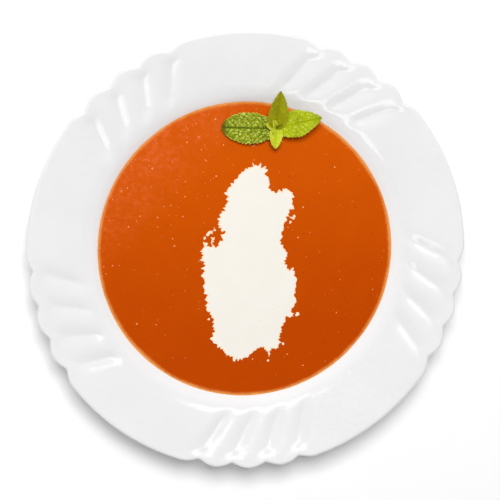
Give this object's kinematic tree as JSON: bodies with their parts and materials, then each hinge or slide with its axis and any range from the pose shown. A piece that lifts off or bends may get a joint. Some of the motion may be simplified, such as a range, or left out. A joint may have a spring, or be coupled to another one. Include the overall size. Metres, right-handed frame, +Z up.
{
  "type": "tomato soup in a soup plate",
  "caption": "Smooth tomato soup in a white soup plate with a fluted, notched rim, with a ragged pool of cream and a mint tip on top.",
  "frame": {"origin": "the middle of the plate's foot ring, on the surface that it stands on", "axes": "+Z is up; +X and +Y lie on the table, and the mint sprig lies towards +Y, with its long leaves along X"},
  "size_m": [0.225, 0.2249, 0.0365],
  "materials": {
    "plate": "gloss",
    "soup": "gloss",
    "cream": "satin",
    "mint": "satin"
  },
  "bodies": {
    "root": {"plate": "plate", "soup": "soup", "cream": "cream", "mint_sprig": "mint"}
  },
  "joints": []
}
